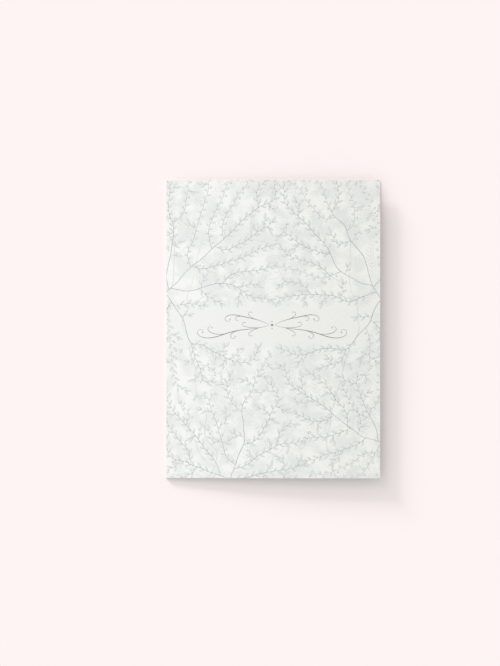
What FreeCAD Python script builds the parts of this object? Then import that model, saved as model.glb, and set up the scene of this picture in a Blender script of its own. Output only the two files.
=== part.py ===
"""A folded greeting card, closed and lying on its back panel.

One sheet of uncoated card is scored down the middle, folded once and trimmed flush. The fold is the
left edge of the front, and the card opens at the right. The whole section is one closed outline, and
the sheet is that outline run along the fold:

- the back panel lies flat on what the card rests on;
- the score leaves a bead on the inside of the fold, with a narrow crease on each side of it where the
  sheet turns a right angle, so the spine is two arcs of the sheet's thickness with a short flat between;
- the cover springs open a little and bows, as a card does that was folded and left to lie.

Frame: +X from the fold to the opening edge, +Y up the page, +Z out of the front. The origin is on
the table, under the middle of the card. Every size is in millimetres.
"""

import FreeCAD, Part
import math
import os

import Sketcher

# name, value, what it is
SIZES = [
    ("card_width", 114.3, "closed card, from the spine to the back panel's free edge"),
    ("card_height", 158.75, "length of the fold"),
    ("sheet_thickness", 0.38, "caliper of 300 gsm uncoated card"),
    ("crease_radius", 0.05, "inside round of the crease on each side of the bead"),
    ("bead_width", 0.3, "bead that the score raises along the inside of the fold"),
    ("bead_reach", 0.25, "from the creases to the middle of the bead's round nose"),
    ("cover_gape", 3.6, "gap between the panels at the opening edge"),
    ("cover_bow", 0.75, "rise of the bowed cover over its own chord"),
    ("cover_setback", 0.15, "how far the sprung cover stops short of the back panel's edge"),
]

# which end of a sketch line or arc a constraint takes
START, END, CENTRE = 1, 2, 3


def make_sheet(doc):
    """The driving dimensions, one a row, each with its name as the cell's alias."""
    sheet = doc.addObject("Spreadsheet::Sheet", "Sizes")
    for row, (name, value, meaning) in enumerate(SIZES, start=1):
        sheet.set(f"A{row}", name)
        sheet.set(f"B{row}", str(value))
        sheet.set(f"C{row}", meaning)
        sheet.setAlias(f"B{row}", name)
    doc.recompute()
    return sheet


def upright(angle):
    """Unit vector square to a direction that rises by this angle."""
    return FreeCAD.Vector(-math.sin(angle), math.cos(angle), 0)


def arc(centre, radius, start, end):
    """Anticlockwise arc between two angles in radians."""
    circle = Part.Circle(centre, FreeCAD.Vector(0, 0, 1), radius)
    return Part.ArcOfCircle(circle, start, end)


def line(start, end):
    return Part.LineSegment(start, end)


def draw_section(sketch, sheet):
    """Draws the section near its solved shape: across the card is the sketch's x, up is its y."""
    half_width = sheet.card_width / 2
    thickness = sheet.sheet_thickness
    crease = sheet.crease_radius
    bead = sheet.bead_width / 2
    turn = thickness + crease
    spine_x = -half_width
    crease_x = spine_x + turn
    nose_x = crease_x + sheet.bead_reach

    lower = FreeCAD.Vector(crease_x, turn, 0)
    upper = FreeCAD.Vector(crease_x, turn + 2 * (crease + bead), 0)
    nose = FreeCAD.Vector(nose_x, turn + crease + bead, 0)
    inner_radius = sheet.card_width**2 / (8 * sheet.cover_bow) + sheet.cover_bow / 2

    # The cover leaves its crease on a tangent, and its inner arc passes through the free end.
    free_end = FreeCAD.Vector(half_width - sheet.cover_setback, thickness + sheet.cover_gape, 0)
    reach = free_end - upper
    to_centre = inner_radius - crease
    across = (inner_radius**2 - to_centre**2 - reach.Length**2) / (2 * to_centre)
    spring = math.atan2(reach.y, reach.x) - math.asin(across / reach.Length)
    bow_centre = upper - upright(spring) * to_centre
    to_free_end = free_end - bow_centre
    free_angle = math.atan2(to_free_end.y, to_free_end.x)
    to_free_end.normalize()
    cover_corner = free_end + to_free_end * thickness
    spring_angle = math.pi / 2 + spring

    back_bottom = FreeCAD.Vector(half_width, 0, 0)
    back_top = FreeCAD.Vector(half_width, thickness, 0)
    up = FreeCAD.Vector(0, 1, 0)
    left = FreeCAD.Vector(-1, 0, 0)
    pieces = {
        "back_outside": line(back_bottom, lower - up * turn),
        "spine_low": arc(lower, turn, math.pi, 1.5 * math.pi),
        "spine_flat": line(lower + left * turn, upper + left * turn),
        "spine_high": arc(upper, turn, spring_angle, math.pi),
        "cover_outside": arc(bow_centre, inner_radius + thickness, free_angle, spring_angle),
        "cover_edge": line(cover_corner, free_end),
        "cover_inside": arc(bow_centre, inner_radius, free_angle, spring_angle),
        "crease_high": arc(upper, crease, spring_angle, 1.5 * math.pi),
        "bead_top": line(upper - up * crease, nose + up * bead),
        "bead_nose": arc(nose, bead, -0.5 * math.pi, 0.5 * math.pi),
        "bead_bottom": line(nose - up * bead, lower + up * crease),
        "crease_low": arc(lower, crease, 0.5 * math.pi, 1.5 * math.pi),
        "back_inside": line(lower - up * crease, back_top),
        "back_edge": line(back_top, back_bottom),
    }
    return {name: sketch.addGeometry(shape, False) for name, shape in pieces.items()}


def tie_section(sketch, piece):
    """Constrains the section: smooth joins, shared centres and the sheet's own sizes."""

    def tie(kind, *where):
        return sketch.addConstraint(Sketcher.Constraint(kind, *where))

    # The sheet turns without a corner everywhere but at its two cut edges.
    for first, first_end, second, second_end in (
        ("back_outside", END, "spine_low", END),
        ("spine_low", START, "spine_flat", START),
        ("spine_flat", END, "spine_high", END),
        ("spine_high", START, "cover_outside", END),
        ("cover_inside", END, "crease_high", START),
        ("crease_high", END, "bead_top", START),
        ("bead_top", END, "bead_nose", END),
        ("bead_nose", START, "bead_bottom", START),
        ("bead_bottom", END, "crease_low", START),
        ("crease_low", END, "back_inside", START),
    ):
        tie("Tangent", piece[first], first_end, piece[second], second_end)

    # Both panels end in a straight cut, the cover's square to its bow.
    tie("Coincident", piece["cover_outside"], START, piece["cover_edge"], START)
    tie("Coincident", piece["cover_edge"], END, piece["cover_inside"], START)
    tie("Coincident", piece["back_inside"], END, piece["back_edge"], START)
    tie("Coincident", piece["back_edge"], END, piece["back_outside"], START)
    tie("PointOnObject", piece["cover_inside"], CENTRE, piece["cover_edge"])

    # Inside and outside of one bend share their centre, so the sheet keeps its thickness.
    tie("Coincident", piece["crease_low"], CENTRE, piece["spine_low"], CENTRE)
    tie("Coincident", piece["crease_high"], CENTRE, piece["spine_high"], CENTRE)
    tie("Coincident", piece["cover_inside"], CENTRE, piece["cover_outside"], CENTRE)
    tie("Vertical", piece["crease_low"], CENTRE, piece["crease_high"], CENTRE)
    tie("Equal", piece["crease_low"], piece["crease_high"])

    for flat in ("back_outside", "back_inside", "bead_top", "bead_bottom"):
        tie("Horizontal", piece[flat])
    for wall in ("spine_flat", "back_edge"):
        tie("Vertical", piece[wall])

    # The back panel lies on the sketch's x axis, with the card centred on the origin.
    origin = -1
    tie("PointOnObject", piece["back_outside"], START, origin)

    def size(name, expression, kind, *where):
        """A dimension bound to the sheet."""
        number = tie(kind, *where)
        sketch.renameConstraint(number, name)
        sketch.setExpression(f"Constraints.{name}", expression)

    def measured(kind, *where):
        """The same dimension's value as drawn, which the expression then replaces."""
        ends = [sketch.getPoint(where[i], where[i + 1]) for i in (0, 2)]
        return ends[1].x - ends[0].x if kind == "DistanceX" else ends[1].y - ends[0].y

    def span(name, expression, kind, *where):
        size(name, expression, kind, *where, measured(kind, *where))

    def radius(name, expression, arc_name):
        drawn = sketch.Geometry[piece[arc_name]].Radius
        size(name, expression, "Radius", piece[arc_name], drawn)

    edge = piece["back_edge"]
    span("half_width", "Sizes.card_width / 2", "DistanceX", origin, START, edge, START)
    span("full_width", "Sizes.card_width", "DistanceX", piece["spine_flat"], START, edge, START)
    span("thickness", "Sizes.sheet_thickness", "DistanceY", edge, END, edge, START)
    span("gape", "Sizes.cover_gape", "DistanceY", edge, START, piece["cover_inside"], START)
    span("setback", "Sizes.cover_setback", "DistanceX", piece["cover_inside"], START, edge, START)
    nose, crease = piece["bead_nose"], piece["crease_low"]
    span("bead_reach", "Sizes.bead_reach", "DistanceX", crease, CENTRE, nose, CENTRE)
    radius("bead_radius", "Sizes.bead_width / 2", "bead_nose")
    radius("crease_radius", "Sizes.crease_radius", "crease_low")
    bow = "Sizes.card_width ^ 2 / (8 * Sizes.cover_bow) + Sizes.cover_bow / 2"
    radius("bow_radius", bow, "cover_inside")


def make_card(doc, sheet):
    """The folded sheet: its section on the XZ plane, padded evenly both ways along the fold."""
    body = doc.addObject("PartDesign::Body", "card")
    body.Label = "card"
    section = body.newObject("Sketcher::SketchObject", "fold_section")
    plane = next(f for f in body.Origin.OriginFeatures if f.Role == "XZ_Plane")
    section.AttachmentSupport = (plane, [""])
    section.MapMode = "FlatFace"
    tie_section(section, draw_section(section, sheet))
    doc.recompute()
    sheet_of_card = body.newObject("PartDesign::Pad", "folded_sheet")
    sheet_of_card.Profile = section
    sheet_of_card.SideType = "Symmetric"
    sheet_of_card.setExpression("Length", "Sizes.card_height")
    body.Tip = sheet_of_card
    doc.recompute()
    return body


def check(doc, parts):
    """Stops on a failed object or a shape that isn't one valid solid."""
    for item in doc.Objects:
        if "Invalid" in item.State or "Error" in item.State:
            raise RuntimeError(f"{item.Label} failed: {item.State}")
    for part in parts:
        shape = part.Shape
        if shape.isNull() or not shape.isValid() or len(shape.Solids) != 1:
            raise RuntimeError(f"{part.Label} is not one valid solid")


def main():
    doc = FreeCAD.newDocument("greeting_card")
    sheet = make_sheet(doc)
    parts = [make_card(doc, sheet)]
    check(doc, parts)
    os.makedirs("parts", exist_ok=True)
    for part in parts:
        part.Shape.exportStep(f"parts/{part.Label}.step")
        box = part.Shape.BoundBox
        print(f"{part.Label}: {box.XLength:.3f} x {box.YLength:.3f} x {box.ZLength:.3f} mm,"
              f" {part.Shape.Volume:.1f} mm3")


main()
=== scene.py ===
"""The looks of a folded greeting card: its sheet of paper, its print, the light and the camera.

The sheet is the folded card's closed section, run along the fold. The cover's printed face is one
flat drawing, cut into triangles that have the ink's outlines as edges. Paper and ink are then one
closed surface, and every line of the print has a clean edge.

The sheet is in metres, as the frame is. The print is drawn in millimetres on the flat page, with
its origin in the middle of the card, and goes onto the bowed cover last. A place on the page is a
complex number: its real part runs to the right, and its imaginary part up the page. Angles are in
radians unless a comment says degrees.

The sheet carries a map of itself, so that its looks can be taken over to textures. Each ink has a
place of its own on the map.
"""

import cmath
import itertools
import math
import random

import bpy
import numpy as np
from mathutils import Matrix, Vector
from mathutils.geometry import delaunay_2d_cdt


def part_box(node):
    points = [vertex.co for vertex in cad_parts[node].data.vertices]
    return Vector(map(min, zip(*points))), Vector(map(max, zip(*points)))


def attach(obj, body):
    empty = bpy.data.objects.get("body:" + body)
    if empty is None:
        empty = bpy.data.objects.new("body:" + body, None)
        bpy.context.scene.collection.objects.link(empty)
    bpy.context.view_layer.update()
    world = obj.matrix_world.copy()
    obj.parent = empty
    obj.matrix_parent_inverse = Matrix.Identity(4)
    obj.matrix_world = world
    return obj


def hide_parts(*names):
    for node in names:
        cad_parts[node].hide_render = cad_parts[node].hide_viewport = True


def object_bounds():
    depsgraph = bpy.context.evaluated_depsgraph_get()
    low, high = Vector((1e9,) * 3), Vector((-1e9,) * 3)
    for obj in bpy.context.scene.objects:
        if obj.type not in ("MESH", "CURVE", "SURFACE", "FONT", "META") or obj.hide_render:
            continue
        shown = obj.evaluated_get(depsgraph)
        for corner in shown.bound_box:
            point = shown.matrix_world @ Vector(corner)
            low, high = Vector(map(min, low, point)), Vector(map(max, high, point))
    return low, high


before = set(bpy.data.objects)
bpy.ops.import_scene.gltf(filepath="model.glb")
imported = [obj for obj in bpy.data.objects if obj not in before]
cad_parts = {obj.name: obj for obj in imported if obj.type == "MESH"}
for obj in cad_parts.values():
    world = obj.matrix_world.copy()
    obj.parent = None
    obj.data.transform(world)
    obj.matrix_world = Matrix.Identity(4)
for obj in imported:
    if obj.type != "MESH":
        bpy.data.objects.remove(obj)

CAD_BOX = [list(corner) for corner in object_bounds()]
MM = 0.001

# The folded sheet, in metres
SHEET = 0.38 * MM
CREASE_RADIUS = 0.05 * MM
BEAD_RADIUS = 0.15 * MM
BEAD_REACH = 0.25 * MM
COVER_GAPE = 3.6 * MM
COVER_BOW = 0.75 * MM
COVER_SETBACK = 0.15 * MM

# The cut edges are a little rounded: at the section's two free ends, and where the section stops
CORNER_ROUND = 0.07 * MM
RIM_ROUND = 0.05 * MM

# Steps of the mesh: across a panel, along the fold, and round a large and a small bend
PANEL_STEPS = 22
PAGE_STEPS = 30
TURN_STEPS = 8
ROUND_STEPS = 3

# Cutting a face into triangles: within its outlines only, and with places this near, in
# millimetres, taken for one, at the sheet's ends and on the page
WITHIN_OUTLINES = 1
END_SNAP = 1e-7
PAGE_SNAP = 1e-4

# What each face of the sheet is made of
PAPER, FOLD, EDGE, WASH, ECHO, LINE, TINT, SHADE, ORNAMENT = range(9)

# The sheet laid out on one square map: the map's name, and the left, right, bottom and top of each
# part's place, as shares of the map. The cover's outside has a place for the bare paper and one for
# each ink.
MAP_NAME = "OFBake"
MAP_PLACES = {
    WASH: (0.005, 0.445, 0.005, 0.455),
    "inside": (0.455, 0.725, 0.005, 0.455),
    "back": (0.735, 0.875, 0.005, 0.455),
    "spine": (0.885, 0.905, 0.005, 0.455),
    "cover_edge": (0.915, 0.94, 0.005, 0.455),
    "back_edge": (0.95, 0.975, 0.005, 0.455),
    LINE: (0.005, 0.355, 0.465, 0.915),
    ECHO: (0.365, 0.575, 0.465, 0.915),
    TINT: (0.585, 0.785, 0.465, 0.915),
    SHADE: (0.795, 0.995, 0.465, 0.915),
    ORNAMENT: (0.005, 0.995, 0.925, 0.961),
    "low_rim": (0.005, 0.495, 0.969, 0.979),
    "high_rim": (0.505, 0.995, 0.969, 0.979),
    "low_end": (0.005, 0.495, 0.986, 0.997),
    "high_end": (0.505, 0.995, 0.986, 0.997),
}

# Each ink is a little wider on the map, by this share of it to each side, so that no line blurs
# into the paper. The push on a corner that moves it that far is more than one inside an ink gets.
MAP_WIDENING = 0.0012
FULL_PUSH = 0.2

# The print, in millimetres on the flat page: how far it stays from the cover's edges, the least
# step, area and width of a shape, and the width of a line
PRINT_MARGIN = 0.03
LEAST_STEP = 0.004
LEAST_AREA = 0.002
LEAST_WIDTH = 0.02
PEN = 0.12

# The way that the drawn light goes across the page
LIGHT_WAY = complex(0.707, -0.707)

# The quiet place round the ornament, and how far off it stems and the tips of leaves stay. Tips
# may reach in by a little.
CALM_CENTRE = complex(-0.5, 2.2)
CALM_HALF_WIDTH = 43.0
CALM_HALF_HEIGHT = 9.8
CALM_SQUARENESS = 4.0
STEM_MARGIN = 2.0
TIP_MARGIN = -1.5

# Clearings in the growth: how many, how far apart, and their least and greatest radius
CLEARINGS = 34
CLEARING_GAP = 14
CLEARING_RADIUS = 2.5, 4.2

# Goals of the growth: how many places are tried, how far off the page they may lie, and which
# share of their spacing a stem must come to
GOAL_TRIES = 20000
GOAL_MARGIN = 2
GOAL_REACH = 0.6

# How stems grow: how far off they see a goal, their step, how near two steps from one place may
# end, how much they keep their way, how often they are smoothed, and their least count of places
GOAL_SIGHT = 10.0
GROWTH_STEP = 1.0
TWIN_GAP = 0.3 * GROWTH_STEP
GROWTH_LEAN = 0.85
SMOOTHINGS = 6
SHORTEST_STEM = 4

# Stems: the finest and the broadest, how they broaden with what they bear, how broad the ones with
# a core are, how far the core is off the middle, and how much a stem bears before it has no leaves
FINEST_STEM = 0.9 * PEN
BROADEST_STEM = 0.5
BROADENING = 0.14
CORED_STEM = 0.34
CORE_SHIFT = 0.25 * PEN
BARE_LOAD = 90

# What stems bear. Lengths, radii and the spacing are shares of the growth's size, and a leaf's
# width is a share of its length. A turn is how far a thing leans off its stem. Pairs are the least
# and the greatest.
SPACING = 0.52
LEAF_LENGTH = 0.85, 1.15
LEAF_TURN = 0.6, 0.9
LEAF_WIDTH = 0.36
LEAF_CURL = 0.5
LAST_LEAF_WIDTH = 0.42
FRUITING = 0.25
STALK_LENGTH = 0.4, 0.55
STALK_TURN = 0.9
BERRY_RADIUS = 0.17, 0.22
FROND_LENGTH = 0.7, 1.1
FROND_TURN = 0.7
FROND_CURL = 0.8

# How a leaf is drawn: its steps, how far towards its tip it is broadest, its blade's distance from
# the outside of its line, and its rib's widths
LEAF_STEPS = 6
LEAF_BELLY = 0.8
BLADE_INSET = 1.7 * PEN
RIB_WIDTHS = PEN, 0.7 * PEN, 0.3 * PEN

# How a berry and a frond are drawn: a berry's sides and its line, and a frond's widths
BERRY_SIDES = 10
BERRY_LINE = 0.9 * PEN
FROND_WIDTHS = 0, 0.3, 0.24, 0

# The ornament: how flat its scrolls lie, how fine they are at their ends, how soon they swell, the
# sides of its drops, and the radius of the drops on its branches
FLATNESS = 0.76
FINE = 0.15
SWELL = 1.5
DROP_SIDES = 14
BRANCH_DROP = 0.26
BRANCH_STEPS = 44


class Section:
    """The folded sheet's outline seen along the fold, as places with the way each one faces, and
    what the sheet is made of from each place to the next."""

    def __init__(self, low, high):
        self.places = []
        self.facings = []
        self.looks = []
        self.stretches = []
        self.enter("back", PAPER)
        half_width = high.x
        turn = SHEET + CREASE_RADIUS
        crease_x = low.x + turn
        lower = Vector((crease_x, turn))
        upper = Vector((crease_x, turn + 2 * (CREASE_RADIUS + BEAD_RADIUS)))
        nose = Vector((crease_x + BEAD_REACH, turn + CREASE_RADIUS + BEAD_RADIUS))
        free_end = Vector((half_width - COVER_SETBACK, SHEET + COVER_GAPE))

        # The bowed cover leaves its crease on a tangent and ends at its free end.
        width = high.x - low.x
        inner = width**2 / (8 * COVER_BOW) + COVER_BOW / 2
        reach = free_end - upper
        to_centre = inner - CREASE_RADIUS
        across = (inner**2 - to_centre**2 - reach.length_squared) / (2 * to_centre)
        spring = math.atan2(reach.y, reach.x) - math.asin(across / reach.length)
        self.bow_centre = upper - Vector((-math.sin(spring), math.cos(spring))) * to_centre
        self.bow_radius = inner + SHEET
        out = (free_end - self.bow_centre).normalized()
        free = math.atan2(out.y, out.x)
        spring += math.pi / 2
        along = Vector((out.y, -out.x))
        right, up = Vector((1, 0)), Vector((0, 1))
        left, down = -right, -up
        half_turn = math.pi

        back_corner = Vector((half_width, 0))
        self.line(back_corner + left * CORNER_ROUND, lower + down * turn, down, PANEL_STEPS)
        self.enter("spine", FOLD)
        self.bend(lower, turn, 1.5 * half_turn, half_turn, TURN_STEPS)
        self.line(lower + left * turn, upper + left * turn, left, ROUND_STEPS)
        self.bend(upper, turn, half_turn, spring, TURN_STEPS)
        self.cover_start = len(self.places)
        self.enter("cover", WASH)
        self.bend(self.bow_centre, self.bow_radius, spring,
                  free + CORNER_ROUND / self.bow_radius, PANEL_STEPS)
        self.cover_end = len(self.places)
        self.enter("cover_edge", EDGE)
        self.cut(free_end, out, along)
        self.enter("inside", PAPER)
        self.bend(self.bow_centre, inner, free + CORNER_ROUND / inner, spring, PANEL_STEPS, -1)
        self.bend(upper, CREASE_RADIUS, spring, 1.5 * half_turn, TURN_STEPS, -1)
        self.line(upper + down * CREASE_RADIUS, nose + up * BEAD_RADIUS, up, ROUND_STEPS)
        self.bend(nose, BEAD_RADIUS, half_turn / 2, -half_turn / 2, TURN_STEPS)
        self.line(nose + down * BEAD_RADIUS, lower + up * CREASE_RADIUS, down, ROUND_STEPS)
        self.bend(lower, CREASE_RADIUS, half_turn / 2, 1.5 * half_turn, TURN_STEPS, -1)
        back_top = back_corner + up * SHEET
        self.line(lower + down * CREASE_RADIUS, back_top + left * CORNER_ROUND, up, PANEL_STEPS)
        self.enter("back_edge", EDGE)
        self.cut(back_corner, up, right)

        # How far along its own stretch, and along the whole section, each step starts and ends
        ends = self.places[1:] + self.places[:1]
        lengths = [(end - start).length for start, end in zip(self.places, ends)]
        self.spans = []
        for _, steps in itertools.groupby(zip(self.stretches, lengths), key=lambda step: step[0]):
            self.spans += spans([length for _, length in steps])
        self.spans_round = spans(lengths)

    def enter(self, stretch, look):
        """Starts a stretch of the section, and says what the sheet is made of there."""
        self.stretch, self.look = stretch, look

    def add(self, place, facing):
        self.places.append(place)
        self.facings.append(facing)
        self.looks.append(self.look)
        self.stretches.append(self.stretch)

    def line(self, start, end, facing, steps):
        for k in range(steps):
            self.add(start.lerp(end, k / steps), facing)

    def bend(self, centre, radius, first, last, steps, side=1):
        """An arc. Its side is 1 where the paper lies within it, and -1 where it lies outside."""
        for k in range(steps):
            angle = first + (last - first) * k / steps
            out = Vector((math.cos(angle), math.sin(angle)))
            self.add(centre + out * radius, out * side)

    def cut(self, foot, out, along):
        """A free end's cut edge, from the sheet's outside to its inside, with rounded corners."""
        top = foot + out * SHEET
        first = math.atan2(out.y, out.x)
        quarter = math.pi / 2
        back = along * CORNER_ROUND
        high, low = top - out * CORNER_ROUND, foot + out * CORNER_ROUND
        self.bend(high - back, CORNER_ROUND, first, first - quarter, ROUND_STEPS)
        self.line(high, low, along, ROUND_STEPS)
        self.bend(low - back, CORNER_ROUND, first - quarter, first - 2 * quarter, ROUND_STEPS)

    def on_cover(self, x, y):
        """Where the flat page's place (x, y) lies on the bowed cover, and which way it faces."""
        centre = self.bow_centre
        rise = math.sqrt(self.bow_radius**2 - (x - centre.x) ** 2)
        out = Vector((x - centre.x, 0, rise)) / self.bow_radius
        return Vector((x, y, centre.y + rise)), out


def spans(lengths):
    """Where each of some lengths laid end to end starts and ends, as shares of them all."""
    ends = [0.0, *itertools.accumulate(lengths)]
    return [(start / ends[-1], end / ends[-1]) for start, end in zip(ends, ends[1:])]


class Page:
    """A drawing on the flat page: inked shapes in painting order, later ones over earlier ones."""

    def __init__(self, left, right, bottom, top):
        self.left, self.right, self.bottom, self.top = left, right, bottom, top
        self.shapes = []

    def add(self, outline, ink):
        """Adds a shape, trimmed to the page and run anticlockwise, unless it is too small."""
        outline = trimmed(outline, lambda place: place.real - self.left)
        outline = trimmed(outline, lambda place: self.right - place.real)
        outline = trimmed(outline, lambda place: place.imag - self.bottom)
        outline = trimmed(outline, lambda place: self.top - place.imag)
        outline = [p for k, p in enumerate(outline) if abs(p - outline[k - 1]) > LEAST_STEP]
        area = sum((outline[k - 1].conjugate() * p).imag for k, p in enumerate(outline)) / 2
        if abs(area) > LEAST_AREA:
            self.shapes.append((outline if area > 0 else outline[::-1], ink))


def trimmed(outline, depth):
    """What is left of an outline where depth, which is linear on the page, isn't negative."""
    kept = []
    for k, end in enumerate(outline):
        start = outline[k - 1]
        before, after = depth(start), depth(end)
        if (before < 0) != (after < 0):
            kept.append(start + (end - start) * before / (before - after))
        if after >= 0:
            kept.append(end)
    return kept


def path(start, heading, length, turn, steps):
    """A line that starts along heading and turns evenly, by turn in all."""
    places = [start]
    for k in range(steps):
        places.append(places[-1] + cmath.rect(length / steps, heading + turn * (k + 0.5) / steps))
    return places


def heading_at(places, k):
    """The heading of a line at its k-th place."""
    return cmath.phase(places[min(k + 1, len(places) - 1)] - places[max(k - 1, 0)])


def stroke(places, widths):
    """The outline of a pen stroke along some places, with its width at each."""
    left, right = [], []
    for k, (place, width) in enumerate(zip(places, widths)):
        side = cmath.rect(width / 2, heading_at(places, k) + math.pi / 2)
        left.append(place + side)
        right.append(place - side)
    return left + right[::-1]


def disc(centre, radius, sides):
    return [centre + cmath.rect(radius, 2 * math.pi * k / sides) for k in range(sides)]


def calm(place, margin=0.0):
    """Whether a place is in the quiet oval round the ornament, or within a margin of it."""
    off = place - CALM_CENTRE
    across = abs(off.real) / (CALM_HALF_WIDTH + margin)
    along = abs(off.imag) / (CALM_HALF_HEIGHT + margin)
    return across**CALM_SQUARENESS + along**CALM_SQUARENESS < 1


def leaf(page, base, heading, length, width, curl):
    """A lance-shaped leaf: a line round a pale blade, a shaded half and a rib."""
    rib = path(base, heading - curl / 2, length, curl, LEAF_STEPS)
    if calm(rib[-1], TIP_MARGIN):
        return
    shape = [math.sin(math.pi * (k / LEAF_STEPS) ** LEAF_BELLY) * width for k in range(LEAF_STEPS + 1)]
    page.add(stroke(rib, shape), LINE)

    # The blade starts and ends short of the line's own points.
    root, tip = rib[0] + (rib[1] - rib[0]) * 0.5, rib[-1] - (rib[-1] - rib[-2]) * 0.4
    middle = rib[1:-1]
    blade = stroke(middle, [max(w - BLADE_INSET, LEAST_WIDTH) for w in shape[1:-1]])
    half = len(blade) // 2
    left, right = blade[:half], blade[half:]
    page.add([root] + left + [tip] + right, TINT)
    sides = (left, right[::-1])
    shaded = max(sides, key=lambda side: (side[half // 2] * LIGHT_WAY.conjugate()).real)
    page.add([root] + middle + [tip] + shaded[::-1], SHADE)
    page.add(stroke(rib[:-1:2], RIB_WIDTHS), LINE)


def frond(page, base, heading, length, curl):
    """A narrow blade of the echo: one stroke, pointed at both ends."""
    rib = path(base, heading - curl / 2, length, curl, len(FROND_WIDTHS) - 1)
    if not calm(rib[-1], TIP_MARGIN):
        page.add(stroke(rib, FROND_WIDTHS), ECHO)


def berry(page, stalk, tip, radius):
    """A round berry on a stalk, with a line that is thicker on the shaded side."""
    if calm(tip):
        return
    page.add(stroke([stalk, tip], [PEN, 0.8 * PEN]), LINE)
    page.add(disc(tip, radius, BERRY_SIDES), LINE)
    page.add(disc(tip - 0.12 * radius * LIGHT_WAY, radius - BERRY_LINE, BERRY_SIDES), SHADE)
    page.add(disc(tip - 0.24 * radius * LIGHT_WAY, 0.7 * radius - BERRY_LINE, BERRY_SIDES - 2), TINT)


def stem(page, line, widths, echo):
    """A stem: one line, or where it is broad a paler core between its two sides. In the echo it is
    one pale line."""
    page.add(stroke(line, widths), ECHO if echo else LINE)
    last = sum(width > CORED_STEM for width in widths)
    if last > 2 and not echo:
        cores = [width - 2 * PEN for width in widths[:last]]
        cores[-1] = LEAST_WIDTH
        page.add([place - CORE_SHIFT * LIGHT_WAY for place in stroke(line[:last], cores)], SHADE)


def strewn_goals(page, rng, room):
    """Places for the stems to grow to, evenly strewn, with clearings and the quiet oval left out."""
    clearings = []
    while len(clearings) < CLEARINGS:
        place = complex(rng.uniform(page.left, page.right), rng.uniform(page.bottom, page.top))
        if all(abs(place - other) > CLEARING_GAP for other, _ in clearings):
            clearings.append((place, rng.uniform(*CLEARING_RADIUS)))
    goals = []
    for _ in range(GOAL_TRIES):
        place = complex(rng.uniform(page.left - GOAL_MARGIN, page.right + GOAL_MARGIN),
                        rng.uniform(page.bottom - GOAL_MARGIN, page.top + GOAL_MARGIN))
        if calm(place) or any(abs(place - other) < radius for other, radius in clearings):
            continue
        if all(abs(place - other) > room for other in goals):
            goals.append(place)
    return np.array(goals)


def grown(goals, roots, near):
    """Space colonisation: each round, every stem node that is nearest to a goal sends out a step.

    Returns the nodes' places, each node's parent and each node's children."""
    places = [place for place, _ in roots]
    parents = [None] * len(roots)
    leans = [cmath.rect(1, heading) for _, heading in roots]
    children = [[] for _ in roots]
    nearest = np.full(len(goals), np.inf)
    owner = np.zeros(len(goals), int)
    fresh = list(range(len(roots)))
    while fresh:
        for k in fresh:
            distance = np.abs(goals - places[k])
            closer = distance < nearest
            nearest[closer] = distance[closer]
            owner[closer] = k
        live = (nearest > near) & (nearest < GOAL_SIGHT)
        fresh = []
        for k in sorted(set(owner[live].tolist())):
            pull = goals[live & (owner == k)] - places[k]
            way = (pull / np.abs(pull)).mean() + GROWTH_LEAN * leans[k]
            way /= abs(way)
            place = places[k] + GROWTH_STEP * way
            twin = any(abs(places[child] - place) < TWIN_GAP for child in children[k])
            if calm(place, STEM_MARGIN) or twin:
                continue
            children[k].append(len(places))
            fresh.append(len(places))
            places.append(place)
            parents.append(k)
            leans.append(way)
            children.append([])
    return places, parents, children


def stems_of(places, parents, children):
    """The grown nodes as smooth stems. Each follows the child that bears most, and the others start
    stems of their own. Gives each stem's places, and how many nodes each of them bears."""
    bears = [1] * len(places)
    for k in range(len(places) - 1, -1, -1):
        if parents[k] is not None:
            bears[parents[k]] += bears[k]
    chains = []
    starts = [[k] for k, parent in enumerate(parents) if parent is None]
    while starts:
        chain = starts.pop()
        while children[chain[-1]]:
            heir, *others = sorted(children[chain[-1]], key=lambda child: -bears[child])
            starts += [[chain[-1], child] for child in others]
            chain.append(heir)
        chains.append(chain)
    smooth = list(places)
    for chain in chains:
        line = [smooth[k] for k in chain]
        for _ in range(SMOOTHINGS):
            line[1:-1] = [(a + 2 * b + c) / 4 for a, b, c in zip(line, line[1:], line[2:])]
        for k, place in zip(chain[1:], line[1:]):
            smooth[k] = place
    return [([smooth[k] for k in chain], [bears[k] for k in chain])
            for chain in chains if len(chain) >= SHORTEST_STEM]


def bearing_nodes(line, bears, spacing):
    """The places of a stem that bear something, by number: evenly spaced, and none where the stem
    is stout."""
    travelled = 0.0
    for k in range(1, len(line)):
        travelled += abs(line[k] - line[k - 1])
        if bears[k] <= BARE_LOAD and travelled >= spacing:
            travelled = 0.0
            yield k


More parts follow.
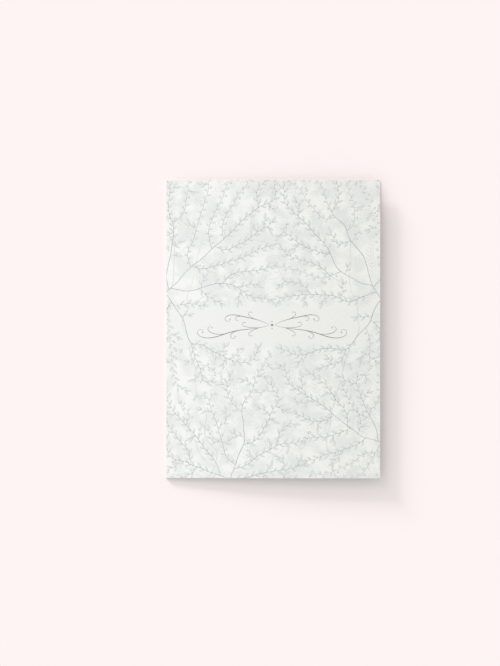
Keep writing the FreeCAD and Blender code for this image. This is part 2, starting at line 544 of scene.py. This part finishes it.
def sprigs(page, rng, roots, room, size, echo=False):
    """An all-over growth of stems. Most bear leaves on alternate sides, and some bear berries. The
    echo's stems bear pairs of fronds."""
    stems = stems_of(*grown(strewn_goals(page, rng, room), roots, GOAL_REACH * room))
    for line, bears in stems:
        widths = [min(BROADEST_STEM, FINEST_STEM + BROADENING * PEN * math.sqrt(load)) for load in bears]
        widths[0] = widths[1]
        stem(page, line, widths, echo)
    for line, bears in stems:
        side = rng.choice((-1, 1))
        fruiting = rng.random() < FRUITING and not echo
        for k in bearing_nodes(line, bears, SPACING * size):
            side = -side
            away = heading_at(line, k)
            if echo:
                for turn in (-FROND_TURN, FROND_TURN):
                    reach = size * rng.uniform(*FROND_LENGTH)
                    frond(page, line[k], away + turn, reach, -FROND_CURL * turn)
            elif fruiting:
                reach = rng.uniform(*STALK_LENGTH) * size
                tip = line[k] + cmath.rect(reach, away + side * STALK_TURN)
                berry(page, line[k], tip, rng.uniform(*BERRY_RADIUS) * size)
            else:
                reach = size * rng.uniform(*LEAF_LENGTH)
                heading = away + side * rng.uniform(*LEAF_TURN)
                leaf(page, line[k], heading, reach, reach * LEAF_WIDTH, -side * LEAF_CURL)
        if fruiting:
            berry(page, line[-2], line[-1], BERRY_RADIUS[1] * size)
        elif not echo:
            onward = heading_at(line, len(line) - 1)
            leaf(page, line[-1], onward, LEAF_LENGTH[1] * size, LAST_LEAF_WIDTH * size, 0.0)


def pen(start, heading, length, bends, steps):
    """A scroll: its bend runs evenly from each of the given bends, in radians a millimetre, to the
    next."""
    places = [start]
    for k in range(steps):
        span = (k + 0.5) / steps * (len(bends) - 1)
        n = int(span)
        heading += (bends[n] + (bends[n + 1] - bends[n]) * (span - n)) * length / steps
        places.append(places[-1] + cmath.rect(length / steps, heading))
    return places


def scroll(page, places, broad, drop):
    """Inks a scroll and its mirror image, broad at the middle, each with a drop at its end."""
    last = len(places) - 1
    places = [complex(place.real, FLATNESS * place.imag) for place in places]
    widths = [FINE + (broad - FINE) * math.sin(math.pi * k / last) ** SWELL for k in range(last + 1)]
    for outline in (stroke(places, widths), disc(places[-1], drop, DROP_SIDES)):
        page.add([CALM_CENTRE + p for p in outline], ORNAMENT)
        page.add([CALM_CENTRE - p.conjugate() for p in outline], ORNAMENT)


def flourish(page):
    """The ornament: scrolls to both sides of a small diamond."""
    low_bends = [0.035, 0.03, 0, -0.035, -0.02, 0.045, 0.12, 0.34, 0.95]
    high_bends = [-0.03, -0.04, -0.015, 0.01, -0.1, -0.42, -0.95]
    low = pen(complex(1.6, -0.25), -0.42, 47.5, low_bends, 100)
    high = pen(complex(1.6, 0.25), 0.62, 31.0, high_bends, 70)
    scroll(page, low, 0.46, 0.33)
    scroll(page, high, 0.42, 0.31)

    # Each branch's scroll and the place on it that it leaves, its length, its bends and its breadth
    for host, k, length, bends, broad in (
        (low, 26, 15.0, [0, -0.05, -0.16, -0.5, -1.15], 0.33),
        (low, 47, 16.5, [0.03, 0.1, 0.1, 0.16, 0.5, 1.15], 0.33),
        (high, 24, 11.5, [0.03, -0.02, -0.15, -0.5, -1.3], 0.31),
        (low, 7, 14.5, [0.06, 0.09, 0.03, 0.05, 0.5, 1.3], 0.28),
        (high, 14, 10.0, [0.0, 0.06, 0.14, 0.45, 1.4], 0.28),
        (low, 9, 11.0, [-0.05, -0.07, -0.05, -0.4, -1.4], 0.28),
    ):
        branch = pen(host[k], heading_at(host, k), length, bends, BRANCH_STEPS)
        scroll(page, branch, broad, BRANCH_DROP)
    page.add([CALM_CENTRE + p for p in (1, 0.75j, -1, -0.75j)], ORNAMENT)
    for up in (1.9j, -1.9j):
        page.add(disc(CALM_CENTRE + up, 0.3, 12), ORNAMENT)


def draw_print(page):
    """The cover's print: a growth of sprigs over paler fronds, round an ornament."""
    foot = complex(page.left, page.bottom)
    width, height = page.right - page.left, page.top - page.bottom

    def root(across, up, degrees):
        """A root by its shares of the page's width and height, and the way it sets out."""
        return foot + complex(across * width, up * height), math.radians(degrees)

    echo_roots = root(0.2, -0.01, 73), root(0.5, -0.01, 101), root(0.8, -0.01, 107)
    sprigs(page, random.Random(21), echo_roots, room=3.8, size=3.7, echo=True)
    roots = root(0.3, -0.01, 96), root(1.01, 0.12, 136), root(-0.01, 0.62, 52), root(1.01, 0.6, 124)
    sprigs(page, random.Random(8), roots, room=3.5, size=3.1)
    flourish(page)


def rings_along(low, high):
    """The sheet's rings along the fold: how far up each lies, how far drawn in, and its tilt."""
    quarter = math.pi / 2
    rim = []
    for k in range(ROUND_STEPS):
        tilt = -quarter + quarter * k / ROUND_STEPS
        rim.append((low + RIM_ROUND * (1 + math.sin(tilt)), RIM_ROUND * (1 - math.cos(tilt)), tilt))
    first, last = low + RIM_ROUND, high - RIM_ROUND
    flat = [(first + (last - first) * k / PAGE_STEPS, 0.0, 0.0) for k in range(PAGE_STEPS + 1)]
    return rim + flat + [(low + high - y, inset, -tilt) for y, inset, tilt in rim[::-1]]


def as_shares(places):
    """Places in a plane, one a row, as shares of the width and the height that they take together."""
    low, high = places.min(0), places.max(0)
    return (places - low) / (high - low)


def widened(places, triangles, widening):
    """The places with the outline of some triangles moved outwards. Each triangle pushes its corners
    away from its middle. At the outline the pushes add up, and elsewhere they even out."""
    corners = places[triangles]
    away = corners - corners.mean(1, keepdims=True)
    away /= np.linalg.norm(away, axis=2, keepdims=True)
    push = np.zeros_like(places)
    np.add.at(push, triangles, away)
    strength = np.linalg.norm(push, axis=1, keepdims=True)
    return places + widening * push / np.maximum(strength, FULL_PUSH)


class SheetMesh:
    """The closed sheet, with a page's drawing cut into the outside of its cover."""

    def __init__(self, section, rings, page):
        self.section, self.rings, self.page = section, rings, page
        self.places, self.facings, self.faces, self.looks, self.spots = [], [], [], [], []
        self.across = range(section.cover_start, section.cover_end + 1)
        self.upward = range(ROUND_STEPS, ROUND_STEPS + PAGE_STEPS + 1)
        self.index = {}
        for j, ring in enumerate(rings):
            for i in range(len(section.places)):
                if not self.within_cover(i, j):
                    self.add_ring_place(i, j, ring)
        self.add_walls()
        self.add_ends()
        self.add_cover()

    def within_cover(self, i, j):
        return self.across[0] < i < self.across[-1] and self.upward[0] < j < self.upward[-1]

    def add_ring_place(self, i, j, ring):
        y, inset, tilt = ring
        facing = self.section.facings[i]
        at = self.section.places[i] - facing * inset
        self.index[i, j] = len(self.places)
        self.places.append((at.x, y, at.y))
        flat = math.cos(tilt)
        self.facings.append((facing.x * flat, math.sin(tilt), facing.y * flat))

    def add_face(self, corners, look, part, spots):
        """Adds a face. Spots are where its corners lie on the map, as shares of its part's place."""
        left, right, bottom, top = MAP_PLACES[part]
        self.faces.append(corners)
        self.looks.append(look)
        self.spots += [(left + (right - left) * u, bottom + (top - bottom) * v) for u, v in spots]

    def add_walls(self):
        """The faces between one ring and the next, all but the cover's outside."""
        count = len(self.section.places)
        section = self.section
        low_rim, panels = range(self.upward[0]), self.upward[:-1]
        high_rim = range(self.upward[-1], len(self.rings) - 1)
        for rim, rows in (("low_rim", low_rim), (None, panels), ("high_rim", high_rim)):
            for j, i in itertools.product(rows, range(count)):
                if rim is None and i in self.across[:-1]:
                    continue
                keys = (i, j), ((i + 1) % count, j), ((i + 1) % count, j + 1), (i, j + 1)
                corners = [self.index[key] for key in keys]
                start, end = section.spans_round[i] if rim else section.spans[i]
                low, high = (j - rows[0]) / len(rows), (j + 1 - rows[0]) / len(rows)
                spots = (start, low), (end, low), (end, high), (start, high)
                look = EDGE if rim else section.looks[i]
                self.add_face(corners, look, rim or section.stretches[i], spots)

    def add_ends(self):
        """The two ends of the fold, where the whole section shows."""
        count = len(self.section.places)
        for part, j, turned in (("low_end", 0, 1), ("high_end", len(self.rings) - 1, -1)):
            corners = [self.index[i, j] for i in range(count)]
            outline = [Vector((self.places[v][0], self.places[v][2])) / MM for v in corners]
            spots = as_shares(np.array(outline))
            cut = delaunay_2d_cdt(outline, [], [range(count)], WITHIN_OUTLINES, END_SNAP)
            _, _, triangles, came_from, _, _ = cut
            for triangle in triangles:
                sources = [came_from[v][0] for v in triangle][::turned]
                self.add_face([corners[k] for k in sources], EDGE, part, [spots[k] for k in sources])

    def add_cover(self):
        """The cover's outside: triangles that follow the drawing, each in its topmost shape's ink."""
        left, right = self.across[0], self.across[-1]
        bottom, top = self.upward[0], self.upward[-1]
        rim = [(i, bottom) for i in self.across[:-1]] + [(right, j) for j in self.upward[:-1]]
        rim += [(i, top) for i in self.across[:0:-1]] + [(left, j) for j in self.upward[:0:-1]]
        inner = [(i, j) for i in self.across for j in self.upward if self.within_cover(i, j)]
        points = [Vector((self.section.places[i].x, self.rings[j][0])) / MM for i, j in rim + inner]
        outlines = [range(len(rim))]
        for outline, _ in self.page.shapes:
            outlines.append(range(len(points), len(points) + len(outline)))
            points += [Vector((place.real, place.imag)) for place in outline]
        cut = delaunay_2d_cdt(points, [], outlines, WITHIN_OUTLINES, PAGE_SNAP)
        flat, _, triangles, came_from, _, covers = cut

        # The cover's rim keeps the places that the rings gave it, so that it joins the walls.
        known = []
        for place, sources in zip(flat, came_from):
            on_rim = [k for k in sources if k < len(rim)]
            if on_rim:
                known.append(self.index[rim[on_rim[0]]])
                continue
            at, out = self.section.on_cover(place.x * MM, place.y * MM)
            known.append(len(self.places))
            self.places.append(at)
            self.facings.append(out)
        inks = [WASH] + [ink for _, ink in self.page.shapes]
        looks = np.array([inks[max(over)] for over in covers])
        flat, triangles = np.array(flat), np.array(triangles)
        for look in np.unique(looks).tolist():
            self.add_inked(look, triangles[looks == look], flat, known)

    def add_inked(self, look, triangles, flat, known):
        """The cover's triangles of one look. Flat holds their corners' places on the page, and known
        their numbers among the sheet's places."""
        used, corners = np.unique(triangles, return_inverse=True)
        corners = corners.reshape(-1, 3)
        left, right, bottom, top = MAP_PLACES[look]
        widening = MAP_WIDENING / np.array([right - left, top - bottom])
        spots = widened(as_shares(flat[used]), corners, widening)
        for triangle, shares in zip(triangles.tolist(), spots[corners].tolist()):
            self.add_face([known[v] for v in triangle], look, look, shares)

    def mesh(self):
        mesh = bpy.data.meshes.new("folded_sheet")
        mesh.from_pydata(self.places, [], self.faces)
        mesh.polygons.foreach_set("material_index", self.looks)
        mesh.polygons.foreach_set("use_smooth", [True] * len(self.faces))
        mesh.normals_split_custom_set_from_vertices(self.facings)
        mesh.uv_layers.new(name=MAP_NAME).uv.foreach_set("vector", np.ravel(self.spots))
        return mesh


def tone(red, green, blue):
    """A colour given as it shows on a screen, from 0 to 255, as Blender's linear colour."""
    def linear(level):
        level /= 255
        return level / 12.92 if level <= 0.04045 else ((level + 0.055) / 1.055) ** 2.4
    return linear(red), linear(green), linear(blue), 1.0


# The ground as it looks, and as it lights the card
BACKDROP = tone(254, 244, 243)
GROUND_LIGHT = tone(180, 176, 176)
GROUND_SIZE = 8.0

# How the colour is darkened, at the most: in the card's own mottle, and in a painted shade, a little
# warm, towards the opening edge
MOTTLE = (0.975, 0.975, 0.97, 1.0)
# Painted shade: darker and a little warmer towards the opening edge
PAINTED_SHADE_TOWARDS_OPENING = (0.945, 0.94, 0.92, 1.0)

# Which part of the noise makes a patch, and which the mottle
PATCH_SPAN = 0.38, 0.62
MOTTLE_SPAN = 0.45, 0.75

# How wide the mottle's and the felt's lumps are in millimetres, and the felt's depth and strength
MOTTLE_SIZE = 0.9
FELT_SIZE = 0.45
FELT_DEPTH = 0.012 * MM
FELT_STRENGTH = 0.5

# Paper shines very little.
ROUGHNESS = 0.9
SHINE = 0.05

# A clear paper's one share of its second tint beside the ornament, and how far from the
# ornament's middle its patches start and are full
CLEAR_SHARE = 0.4
CLEAR_SPAN = 7 * MM, 15 * MM


def paper_material(name, colour, other, patch=9.0, streaks=(1, 1, 1), relief=1.0, clear=False):
    """Uncoated card or ink on it: two near tints in patches of about this many millimetres, a fine
    mottle, a painted shade that darkens and warms it a little towards the opening edge, and a felt of
    fibres. Streaks squeeze the patches and the felt along each axis. A clear one is even in tint round
    the ornament."""
    material = bpy.data.materials.new(name)
    material.use_nodes = True
    nodes, links = material.node_tree.nodes, material.node_tree.links
    shader = nodes["Principled BSDF"]
    shader.inputs["Roughness"].default_value = ROUGHNESS
    shader.inputs["Specular IOR Level"].default_value = SHINE
    coordinates = nodes.new("ShaderNodeTexCoord").outputs["Object"]
    squeeze = nodes.new("ShaderNodeMapping")
    squeeze.inputs["Scale"].default_value = streaks
    links.new(coordinates, squeeze.inputs["Vector"])
    axes = nodes.new("ShaderNodeSeparateXYZ")
    links.new(coordinates, axes.inputs["Vector"])

    def feed(socket, value):
        """Gives a socket a constant, or links another node's output to it."""
        if isinstance(value, bpy.types.NodeSocket):
            links.new(value, socket)
        else:
            socket.default_value = value

    def noise(size, detail):
        """Noise whose lumps are about this many millimetres wide."""
        lumps = nodes.new("ShaderNodeTexNoise")
        feed(lumps.inputs["Vector"], squeeze.outputs["Vector"])
        feed(lumps.inputs["Scale"], 1 / (size * MM))
        feed(lumps.inputs["Detail"], detail)
        return lumps.outputs["Fac"]

    def share(source, low, high):
        """How far source has gone from low to high, from 0 to 1, with soft ends."""
        span = nodes.new("ShaderNodeMapRange")
        span.interpolation_type = "SMOOTHSTEP"
        feed(span.inputs["Value"], source)
        feed(span.inputs["From Min"], low)
        feed(span.inputs["From Max"], high)
        return span.outputs["Result"]

    def mixed(kind, first, second, factor, blend="MIX"):
        """Two colours or two numbers mixed by a factor. Kind is RGBA or FLOAT."""
        mix = nodes.new("ShaderNodeMix")
        mix.data_type = kind
        mix.blend_type = blend
        feed(mix.inputs["Factor"], factor)
        feed(mix.inputs["A"], first)
        feed(mix.inputs["B"], second)
        return mix.outputs["Result"]

    def worked(operation, *values):
        """The result of arithmetic on some numbers."""
        work = nodes.new("ShaderNodeMath")
        work.operation = operation
        for socket, value in zip(work.inputs, values):
            feed(socket, value)
        return work.outputs["Value"]

    patched = share(noise(patch, 4), *PATCH_SPAN)
    if clear:
        off = worked("ABSOLUTE", worked("SUBTRACT", axes.outputs["Y"], CALM_CENTRE.imag * MM))
        patched = mixed("FLOAT", CLEAR_SHARE, patched, share(off, *CLEAR_SPAN))
    tint = mixed("RGBA", colour, other, patched)
    tint = mixed("RGBA", tint, MOTTLE, share(noise(MOTTLE_SIZE, 3), *MOTTLE_SPAN), "MULTIPLY")
    # Painted shade: the colour darkens and warms a little from the fold's side to the opening edge
    left, right = CAD_BOX[0][0], CAD_BOX[1][0]
    tint = mixed("RGBA", tint, PAINTED_SHADE_TOWARDS_OPENING, share(axes.outputs["X"], left, right), "MULTIPLY")
    feed(shader.inputs["Base Color"], tint)

    felt = nodes.new("ShaderNodeBump")
    feed(felt.inputs["Strength"], FELT_STRENGTH * relief)
    feed(felt.inputs["Distance"], FELT_DEPTH)
    feed(felt.inputs["Height"], noise(FELT_SIZE, 3))
    feed(shader.inputs["Normal"], felt.outputs["Normal"])
    return material


def make_sheet():
    low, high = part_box("card")
    section = Section(low, high)
    rings = rings_along(low.y, high.y)
    page = Page(section.places[section.cover_start].x / MM + PRINT_MARGIN,
                section.places[section.cover_end].x / MM - PRINT_MARGIN,
                (low.y + RIM_ROUND) / MM + PRINT_MARGIN,
                (high.y - RIM_ROUND) / MM - PRINT_MARGIN)
    draw_print(page)
    sheet = bpy.data.objects.new("folded_sheet", SheetMesh(section, rings, page).mesh())
    bpy.context.collection.objects.link(sheet)

    # One for each of PAPER, FOLD, EDGE, WASH, ECHO, LINE, TINT, SHADE and ORNAMENT, in that order
    for material in (
        paper_material("card_stock", tone(245, 246, 243), tone(241, 243, 240)),
        paper_material("card_fold", tone(234, 235, 231), tone(223, 224, 219), 1.2, (1, 0.1, 1), 2.0),
        paper_material("cut_edge", tone(238, 238, 233), tone(225, 225, 219), 0.8, (1, 1, 8), 2.0),
        paper_material("washed_stock", tone(245, 245, 242), tone(232, 235, 233), 7.5, clear=True),
        paper_material("pattern_echo", tone(213, 218, 218), tone(228, 231, 230), 5.0),
        paper_material("pattern_line", tone(160, 168, 169), tone(186, 192, 192), 1.5),
        paper_material("pattern_tint", tone(240, 242, 240), tone(233, 237, 236), 2.0),
        paper_material("pattern_shade", tone(219, 223, 222), tone(228, 231, 230), 2.0),
        paper_material("ornament_ink", tone(149, 149, 149), tone(163, 163, 163), 1.5),
    ):
        sheet.data.materials.append(material)
    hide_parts("card")
    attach(sheet, "root")


def seen(nodes, links):
    """One for rays that show the backdrop: the camera's, reflected or through something clear. Zero
    for rays that gather its light."""
    rays = nodes.new("ShaderNodeLightPath")
    either = rays.outputs["Is Camera Ray"]
    for kind in ("Is Glossy Ray", "Is Transmission Ray"):
        larger = nodes.new("ShaderNodeMath")
        larger.operation = "MAXIMUM"
        links.new(either, larger.inputs[0])
        links.new(rays.outputs[kind], larger.inputs[1])
        either = larger.outputs["Value"]
    return either


def make_floor():
    """A pale floor. It looks paler than the light that it sends back to the card."""
    bpy.ops.mesh.primitive_plane_add(size=GROUND_SIZE, location=(0, 0, 0))
    floor = bpy.context.object
    floor.name = "floor"
    material = bpy.data.materials.new("floor")
    material.use_nodes = True
    nodes, links = material.node_tree.nodes, material.node_tree.links
    shader = nodes["Principled BSDF"]
    shader.inputs["Roughness"].default_value = 1.0
    shader.inputs["Specular IOR Level"].default_value = 0.0
    choice = nodes.new("ShaderNodeMix")
    choice.data_type = "RGBA"
    choice.inputs["A"].default_value = GROUND_LIGHT
    choice.inputs["B"].default_value = BACKDROP
    links.new(seen(nodes, links), choice.inputs["Factor"])
    links.new(choice.outputs["Result"], shader.inputs["Base Color"])
    floor.data.materials.append(material)


# Each lamp's azimuth, elevation and spread in degrees, and its share of the light on level ground.
# The sky gives the rest. It is a little cool and the lamps are a little warm, white together.
LAMPS = {"key_light": (129, 11.5, 11, 0.155), "broad_light": (129, 24, 34, 0.1)}
SKY_SHARE = 1 - sum(share for *_, share in LAMPS.values())
SKY_COLOUR = (0.98, 1.005, 1.0)
LAMP_COLOUR = [(1 - SKY_SHARE * level) / (1 - SKY_SHARE) for level in SKY_COLOUR]


def add_sun(name, azimuth, elevation, spread, share):
    """A soft sun that gives level ground this share of full light. Azimuth 0 is +X, 90 is +Y."""
    lamp = bpy.data.lights.new(name, "SUN")
    lamp.energy = math.pi * share / math.sin(math.radians(elevation))
    lamp.angle = math.radians(spread)
    lamp.color = LAMP_COLOUR
    sun = bpy.data.objects.new(name, lamp)
    a, e = math.radians(azimuth), math.radians(elevation)
    towards = Vector((math.cos(a) * math.cos(e), math.sin(a) * math.cos(e), math.sin(e)))
    sun.rotation_mode = "QUATERNION"
    sun.rotation_quaternion = towards.to_track_quat("Z", "Y")
    bpy.context.collection.objects.link(sun)


def make_light():
    """An even sky, which looks like the ground, and the lamps."""
    world = bpy.data.worlds.new("soft_light")
    world.use_nodes = True
    bpy.context.scene.world = world
    nodes, links = world.node_tree.nodes, world.node_tree.links
    light = nodes["Background"]
    light.inputs["Strength"].default_value = SKY_SHARE
    light.inputs["Color"].default_value = (*SKY_COLOUR, 1)
    backdrop = nodes.new("ShaderNodeBackground")
    backdrop.inputs["Color"].default_value = BACKDROP
    choice = nodes.new("ShaderNodeMixShader")
    links.new(seen(nodes, links), choice.inputs["Fac"])
    links.new(light.outputs["Background"], choice.inputs[1])
    links.new(backdrop.outputs["Background"], choice.inputs[2])
    links.new(choice.outputs["Shader"], nodes["World Output"].inputs["Surface"])
    for name, lamp in LAMPS.items():
        add_sun(name, *lamp)


# The picture: its size and where the card's middle lies in it, in pixels, and a pixel's real size
PICTURE_SIZE = 500, 666
CARD_PIXEL = 272.98, 329.08
PIXEL = 0.5315 * MM
SENSOR_WIDTH = 36.0
LENS = 100.0


def make_camera():
    """Straight above, up the page at the top, with the card a little right of the middle."""
    camera = bpy.data.cameras.new("camera")
    camera.sensor_width = SENSOR_WIDTH
    camera.lens = LENS
    holder = bpy.data.objects.new("camera", camera)
    off = (Vector(CARD_PIXEL) - Vector(PICTURE_SIZE) / 2) * PIXEL
    distance = PICTURE_SIZE[1] * PIXEL * LENS / SENSOR_WIDTH
    holder.location = (-off.x, off.y, distance + CAD_BOX[1][2])
    bpy.context.collection.objects.link(holder)
    bpy.context.scene.camera = holder


bpy.context.scene.view_settings.view_transform = "Standard"
make_camera()
make_floor()
make_light()
make_sheet()
